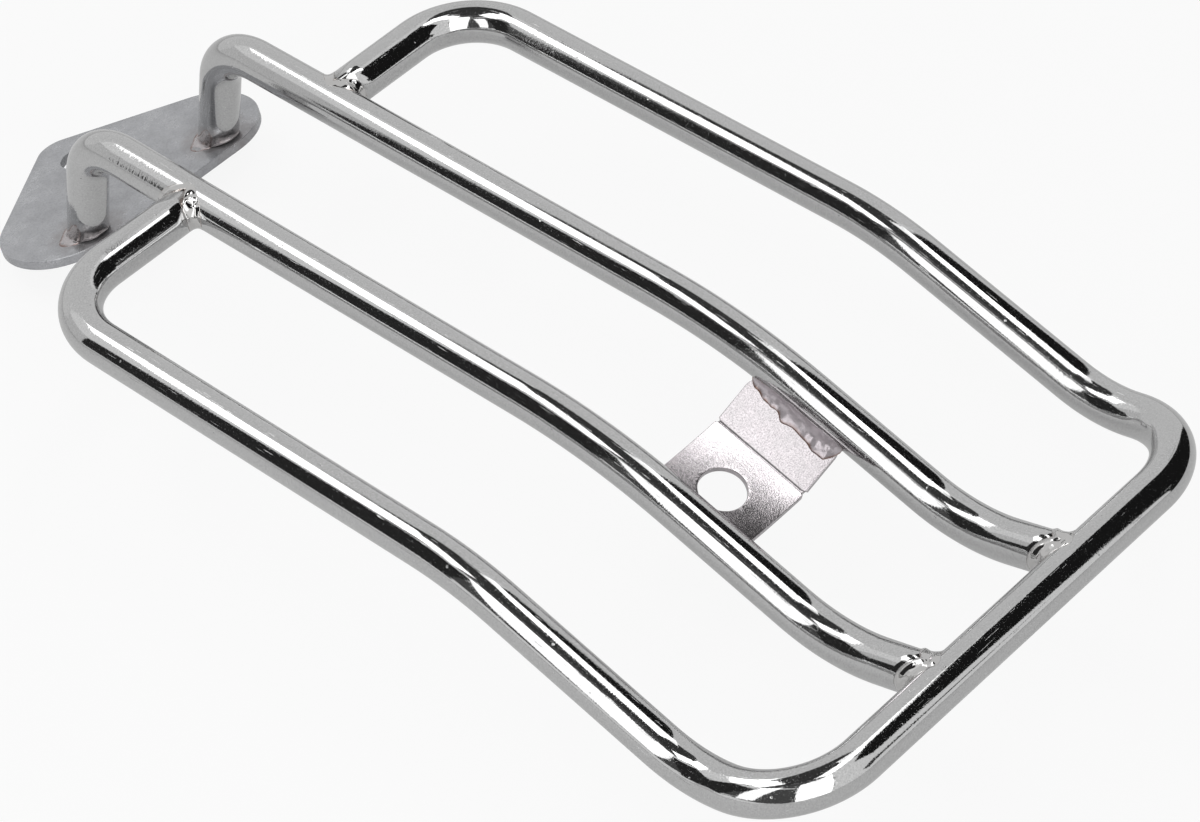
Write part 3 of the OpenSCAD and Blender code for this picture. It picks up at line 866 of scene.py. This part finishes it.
SLOPE_A = math.atan2(RAIL_DROP, RAIL_BREAK_Y - DIP_Y)
slope_up = np.array([0, -math.sin(SLOPE_A), math.cos(SLOPE_A)])
slope_down = np.array([0, -math.cos(SLOPE_A), -math.sin(SLOPE_A)])
slope_at = np.array([0, RAIL_BREAK_Y, 0])
crease_layer = bm.verts.layers.float.new("fold_painted_shade")
for v in bm.verts:
    # painted shade along the fold lines, strongest on each line
    v[crease_layer] = max(math.exp(-((v.co.x - x) / CREASE_SHADE_MM) ** 2) for pair in fold_lines for x in pair)
    x, high = folded(v.co.x, -v.co.z, v.co.y)
    down = TAB_START + v.co.y
    v.co = (slope_at + (x, 0, 0) + high * slope_up + down * slope_down - ORIGIN) * MM
bmesh.ops.recalc_face_normals(bm, faces=bm.faces)
bm.to_mesh(tab_mesh)
bm.free()
print("folded tab:", len(tab_mesh.polygons), "faces")

# %% [markdown]
# ## Finish of the tab
# The tab was blasted clean before its thin plating, so it has a fine even
# grain, warmer and darker in the pits. It mirrors more sharply than the plate.
# The two folds carry a dark line of painted shade along their creases.

# %% Tab in place
# a grainy pinkish grey that still carries the light's gradient over the seat
tab_grain, tree, shine, where = satin(
    "tab_thin_plating_on_blasted_steel", "#C0BCBE", "#D2CCCF", "#5A5658",
    pit_share=0.45, rough=0.12, grain_mm=0.36, grain_depth_mm=0.022, blotch_mm=5.0, metallic=0.9,
)
colour = shine.inputs["Base Color"].links[0].from_socket
painted_crease = add_node(tree, "Attribute", attribute_name="fold_painted_shade").outputs["Fac"]
cloud = add_node(tree, "TexNoise", {"Vector": where, "Scale": 1 / (0.9 * MM), "Detail": 2.0})
amount = add_node(tree, "Math", {0: painted_crease, 1: cloud, 2: 0.3}, operation="MULTIPLY_ADD")
amount = add_node(tree, "Math", {0: painted_crease, 1: amount}, operation="MULTIPLY", use_clamp=True)
# painted shade: the folds darken towards a near black
colour = add_node(tree, "Mix", {0: amount, 6: colour, 7: linear("#3E3A3B")}, data_type="RGBA")
tree.links.new(colour.outputs[2], shine.inputs["Base Color"])
tab = show("tab", tab_mesh, tab_grain, "rear_tab")
flat_normals(tab)
tab_low, tab_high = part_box("rear_tab")
print("tab box in mm:", [round(v * 1000, 2) for v in (*tab_low, *tab_high)])

# %% [markdown]
# ## Weld beads
# A bead freezes from a moving pool of metal between two pieces, so it runs
# from a toe on one to a toe on the other, and no two are alike. Sculpting
# would need a hand. Here each bead is a row of cross-sections along the seam:
# a curve from toe to toe, bulged or hollow, with noise that is strong in the
# middle and nothing at the toes, so that the toes stay on the steel. After
# plating a bead shines like the bars, but soot and heat leave it brown and
# pink near its toes. The more it was burnt, the less metal it shows.

# %% Bead material
BURN_BLEND = 0.3        # how far the clean metal and the burnt one run into each other


def bead_metal(name, clean, burnt, burnt_from, rough, metallic=1.0):
    """Weld metal that is burnt at its toes, from a share of the toe onwards."""
    made, tree = new_material(name)
    where = add_node(tree, "TexCoord").outputs["Object"]
    toe = add_node(tree, "Attribute", attribute_name="toe").outputs["Fac"]
    cloud = add_node(tree, "TexNoise", {"Vector": where, "Scale": 1 / (2.2 * MM), "Detail": 3.0})
    mix = add_node(tree, "Math", {0: toe, 1: cloud}, operation="MULTIPLY")
    amount = add_node(tree, "MapRange", {
        "Value": mix, "From Min": burnt_from, "From Max": burnt_from + BURN_BLEND,
    })
    sockets = {0: amount, 6: linear(clean), 7: linear(burnt)}
    colour = add_node(tree, "Mix", sockets, data_type="RGBA")
    fine = add_node(tree, "TexNoise", {"Vector": where, "Scale": 1 / (0.6 * MM), "Detail": 3.0})
    bump = add_node(tree, "Bump", {"Height": fine, "Distance": 0.01 * MM})
    shine = add_node(tree, "BsdfPrincipled", {
        "Metallic": metallic, "Base Color": colour.outputs[2],
        "Roughness": rough, "Normal": bump,
    })
    add_node(tree, "OutputMaterial", {"Surface": shine})
    print(made.name, "turns brown from", burnt_from, "of a toe")
    return made


# sharp black and white glints, as bright as the bars
bright_bead = bead_metal("chromed_weld_metal", "#CDCCCB", "#988A82", 0.4, 0.06)
# duller, mauve and brown, so that the feet look scorched
foot_metal = bead_metal("heat_tinted_weld_metal", "#B9B4B5", "#85706A", 0.2, 0.18, 0.7)
# pale like the tab, with a brown line where it meets the arm
tab_metal = bead_metal("oxidised_weld_metal", "#C0B9BD", "#80655A", 0.16, 0.22, 0.55)

# %% Skin of a bead
ACROSS = np.linspace(0, 1, 19)
SUNK = 0.2      # how far a bead's hidden inside lies under the steel
LIFT = 0.04     # keeps its shown side clear of the steel
LUMP_MM, FINE_LUMP_MM = 2.4, 0.95
RIDGE_AT, RIDGE_WIDE = 0.16, 0.1    # shares of the way from toe to toe
BURNT_MM = 0.8      # how far the brown reaches from a toe


def rows(values, count):
    """A value or a vector per cross-section, whatever it was given as."""
    values = np.asarray(values, float)
    if values.ndim == 0:
        return np.full((count, 1), float(values))
    return values.reshape(count, 1) if values.ndim == 1 else values


def bead_skin(
    toe_a, corner, toe_b, normal_a, normal_b, bulge, rough, ring, seed,
    ridge=0.0, fine=0.15, burnt=(1, 1),
):
    """Points and faces of one bead, and how near each point is to a toe.
    Each row of the inputs is one cross-section."""
    count = len(toe_a)
    mid_dir = normal_a + normal_b
    mid_dir = mid_dir / np.linalg.norm(mid_dir, axis=1)[:, None]
    middle = corner + mid_dir * rows(bulge, count)
    rough, ridge = rows(rough, count), rows(ridge, count)
    layers, toes = [], []
    reach = np.linalg.norm(toe_a - toe_b, axis=1)
    for t in ACROSS:
        at = (1 - t) ** 2 * toe_a + 2 * t * (1 - t) * middle + t * t * toe_b
        grip = math.sin(math.pi * t) ** 0.6     # nothing at the toes
        lumps = []
        for p in at:
            lump = noise.noise(Vector(p / LUMP_MM) + Vector((seed, 0, 0)))
            lumps.append(lump + fine * noise.noise(Vector(p / FINE_LUMP_MM) + Vector((0, seed, 0))))
        high = rough * np.array(lumps)[:, None] * grip
        high = high + ridge * math.exp(-((t - RIDGE_AT) / RIDGE_WIDE) ** 2) + LIFT
        layers.append(at + mid_dir * high)
        near_a = burnt[0] * np.exp(-t * reach / BURNT_MM)
        near_b = burnt[1] * np.exp(-(1 - t) * reach / BURNT_MM)
        toes.append(np.maximum(near_a, near_b))
    layers += [toe_b - SUNK * normal_b, corner - 2 * SUNK * mid_dir, toe_a - SUNK * normal_a]
    toes += [np.ones(count)] * 3
    wide = len(layers)
    points = np.stack(layers, 1).reshape(-1, 3)
    toes = np.stack(toes, 1).reshape(-1)
    faces = []
    for i in range(count if ring else count - 1):
        k = (i + 1) % count
        for j in range(wide):
            n = (j + 1) % wide
            faces.append((i * wide + j, k * wide + j, k * wide + n, i * wide + n))
    if not ring:
        faces.append(tuple(range(wide)))
        faces.append(tuple((count - 1) * wide + j for j in range(wide))[::-1])
    return points, faces, toes


def show_bead(name, skins, material):
    """Joins a bead's skins into one mesh and puts it in the node's place."""
    bm = bmesh.new()
    toe = bm.verts.layers.float.new("toe")
    for points, faces, toes in skins:
        verts = [bm.verts.new((p - ORIGIN) * MM) for p in points]
        for v, value in zip(verts, toes):
            v[toe] = value
        for face in faces:
            bm.faces.new([verts[i] for i in face])
    bmesh.ops.recalc_face_normals(bm, faces=bm.faces)
    mesh = bpy.data.meshes.new(name + "_bead")
    bm.to_mesh(mesh)
    bm.free()
    made = show(name + "_bead", mesh, material, name)
    print(made.name, len(mesh.polygons), "faces")


# %% [markdown]
# ## Beads where two bars meet
# The seam of two equal bars is a saddle. Going round the joining bar, each
# cross-section has one toe a little way out along that bar and the other a
# little way along the through bar. On top the two bars are level, and there
# the seam all but vanishes, which is why the welder's start and stop show
# there as a rough little V.

# %% Saddle beads
SADDLE_COUNT = 240      # cross-sections round the seam


def humped(angles, base, height, middle, width):
    """A measure round a seam: a base, and a soft hump of that height on it."""
    off = (angles - middle + 180) % 360 - 180
    return base + height * np.exp(-(off / width) ** 2)


def saddle(centre, out_dir, through, toe_out, toe_along, bulge, rough, seed, fine, ridge=0.0):
    """Round the seam of a bar that leaves a through bar along out_dir. The
    angle is 0 on the side that the through bar points to."""
    angles = np.linspace(0, 360, SADDLE_COUNT, endpoint=False)
    c, s = np.cos(np.radians(angles))[:, None], np.sin(np.radians(angles))[:, None]
    third = np.cross(through, out_dir)
    third = third if third[2] > 0 else -third
    normal = c * through + s * third
    seam = centre + BAR_R * normal + BAR_R * np.abs(c) * out_dir
    lean = np.sign(c) * np.abs(c) ** 0.5
    toe_a = seam + rows(humped(angles, *toe_out), SADDLE_COUNT) * out_dir
    toe_b = seam + rows(humped(angles, *toe_along), SADDLE_COUNT) * lean * through
    normal_b = np.abs(c) * out_dir + s * third
    bulge = humped(angles, *bulge) * np.abs(lean[:, 0])
    rough = humped(angles, *rough)
    return bead_skin(toe_a, seam, toe_b, normal, normal_b, bulge, rough, True, seed, ridge, fine)


for side, name, seed in ((-1, "left", 3.1), (1, "right", 8.4)):
    lumpy = 1.2 if side < 0 else 0.75   # the left one is the rougher of the two
    # base, hump, its angle, its width; angle 0 is in front, 90 on top and 180 behind
    skin = saddle(
        np.array([side * RAIL_X, 0, 0]), np.array([side, 0, 0]), np.array([0, 1, 0]),
        toe_out=(2.6, 1.6, 125, 24), toe_along=(2.6, 0.8, 125, 30),
        bulge=(-0.1, 0.8, 128, 20), rough=(0.12, lumpy, 122, 22), seed=seed, fine=0.04,
    )
    show_bead("hoop_weld_" + name, [skin], bright_bead)

# %% Beads at the rear bar
# here angle 0 is at the right, 90 on top and 180 at the left
for side, name, seed in ((-1, "left", 12.9), (1, "right", 17.2)):
    skin = saddle(
        np.array([side * RAIL_X, REAR_Y, REAR_Z]), -tail_dir, np.array([1, 0, 0]),
        toe_out=(5.6, 0.9, 90, 60), toe_along=(2.4, 0.6, 150, 40),
        bulge=(0.25, 0.5, 120, 50), rough=(0.14, 0.6, 92, 30), seed=seed, fine=0.05, ridge=0.5,
    )
    show_bead("rear_weld_" + name, [skin], bright_bead)

# %% [markdown]
# ## Beads at the feet and along the tab
# Each leg is welded to the plate from its right side round its front. The
# bead ends in a flat brown blob at the left, and behind the leg the cut end
# stands open by a millimetre over the plate. The tab's beads run along its
# arms: on top of the right arm and underneath the left one.

# %% Beads at the feet
FOOT_FROM, FOOT_TO, FOOT_COUNT = -12, 204, 150  # degrees round the leg, and cross-sections
RIM_FROM, RIM_TO, RIM_COUNT = 200, 372, 120
BLOB_AT, BLOB_WIDE = 166, 21    # degrees
RIM_SINK = 0.75     # how far the lip of the cut end hangs down


def fan(angles, first, second):
    """Directions turned from the first towards the second, in degrees."""
    a = np.radians(angles)
    return np.cos(a)[:, None] * first + np.sin(a)[:, None] * second


def thin_out(places, over, thinnest, power):
    """1 along a bead, less towards both of its ends."""
    from_end = np.minimum(places - places[0], places[-1] - places)
    return np.clip(from_end / over, thinnest, 1) ** power


def foot_bead(x, seed):
    """The bead from the leg's right side round its front to the blob."""
    axis = -LEG_DIR
    angles = np.linspace(FOOT_FROM, FOOT_TO, FOOT_COUNT)
    flat = fan(angles, np.array([1.0, 0, 0]), PLATE_ALONG)
    side_dir = flat - (flat @ axis)[:, None] * axis
    side_dir /= np.linalg.norm(side_dir, axis=1)[:, None]
    foot = FOOT + np.array([x, 0, 0])
    seam = foot + BAR_R * side_dir
    seam = seam - ((seam - foot) @ PLATE_UP / (axis @ PLATE_UP))[:, None] * axis
    fade = thin_out(angles, 22, 0.02, 0.6)
    blob = humped(angles, 0, 1, BLOB_AT, BLOB_WIDE)
    toe_a = seam + (fade * (1.4 - 0.4 * blob))[:, None] * axis
    toe_b = seam + (fade * (1.4 + 2.0 * blob))[:, None] * flat
    up_dir = np.tile(PLATE_UP, (FOOT_COUNT, 1))
    bulge, rough = fade * (0.1 - 0.25 * blob), fade * (0.35 + 0.1 * blob)
    return bead_skin(
        toe_a, seam, toe_b, side_dir, up_dir, bulge, rough, False, seed, fine=0.2, burnt=(0.6, 1),
    )


def foot_rim(x, seed):
    """The thin pinkish lip round the cut end where it stands open."""
    axis = -LEG_DIR
    angles = np.linspace(RIM_FROM, RIM_TO, RIM_COUNT)
    side_dir = fan(angles, np.array([1.0, 0, 0]), unit(np.cross(axis, (1, 0, 0))))
    edge = FOOT + np.array([x, 0, 0]) + BAR_R * side_dir + 5 * axis
    edge = edge - (meet_plate(edge - (x, 0, 0), -axis)[:, None] + RIM_SINK) * axis
    fade = thin_out(angles, 16, 0.03, 1)
    toe_a = edge + (fade * (1.3 + 0.2 * np.sin(np.radians(angles * 7))))[:, None] * axis
    toe_b = edge - 0.5 * side_dir
    below = np.tile(-axis, (RIM_COUNT, 1))
    return bead_skin(
        toe_a, edge, toe_b, side_dir, below, fade * 0.12, fade * 0.15, False, seed, burnt=(0.4, 1),
    )


for side, name, seed in ((-1, "left", 22.6), (1, "right", 29.3)):
    skins = [foot_bead(side * RAIL_X, seed), foot_rim(side * RAIL_X, seed + 1)]
    show_bead("leg_weld_" + name, skins, foot_metal)

# %% Beads along the tab
ARM_FROM, ARM_TO, ARM_COUNT = 12.6, 45.4, 200   # mm down the slope, and cross-sections
LUMP_AT, LUMP_WIDE = 40, 5.0    # the welder's last stop, lower down the seam
WAVE_MM = 3.6


def arm_bead(side, above, seed):
    """Along the seam of a rail and the tab's arm, on its top or its underside."""
    bend_x = TAB_FOLDS[0 if side < 0 else 1][1]
    flat_arm = np.array([side * RAIL_X - bend_x, TAB_DEPTH])
    flat_arm /= np.linalg.norm(flat_arm)
    arm_dir = np.array([flat_arm[0], 0, 0]) + flat_arm[1] * slope_up
    face = unit(np.cross(slope_down, arm_dir))
    face = face if (face @ slope_up > 0) == above else -face
    drop = 0.0 if above else TAB_T
    s = np.linspace(ARM_FROM, ARM_TO, ARM_COUNT)
    centre = slope_at + np.array([side * RAIL_X, 0, 0]) + s[:, None] * slope_down
    wave = np.array([noise.noise(Vector((v / WAVE_MM, seed, 0))) for v in s])
    fade = thin_out(s, 2.6, 0.04, 0.5)
    lump = np.exp(-((s - LUMP_AT) / LUMP_WIDE) ** 2)
    wider = np.clip((s - ARM_FROM) / 14, 0, 1)
    on_arm = fade * (2.0 + 2.2 * wider + 1.3 * wave + 1.5 * lump)
    on_rail = fade * (2.2 + 1.0 * wider + 0.6 * wave + 0.4 * lump) / BAR_R
    turned = math.asin(drop / BAR_R)
    seam = centre + BAR_R * (math.sin(turned) * face - math.cos(turned) * arm_dir)
    round_to = turned + on_rail
    normal_a = np.sin(round_to)[:, None] * face - np.cos(round_to)[:, None] * arm_dir
    toe_a = centre + BAR_R * normal_a
    toe_b = seam - on_arm[:, None] * arm_dir
    normal_b = np.tile(face, (ARM_COUNT, 1))
    bulge, rough = fade * (0.55 + 0.5 * lump + 0.15 * wave), fade * (0.16 + 0.35 * lump)
    return bead_skin(
        toe_a, seam, toe_b, normal_a, normal_b, bulge, rough, False, seed, fine=0.04, burnt=(0.2, 1),
    )


show_bead("tab_weld_right", [arm_bead(1, True, 38.5)], tab_metal)
show_bead("tab_weld_left", [arm_bead(-1, False, 33.7)], tab_metal)
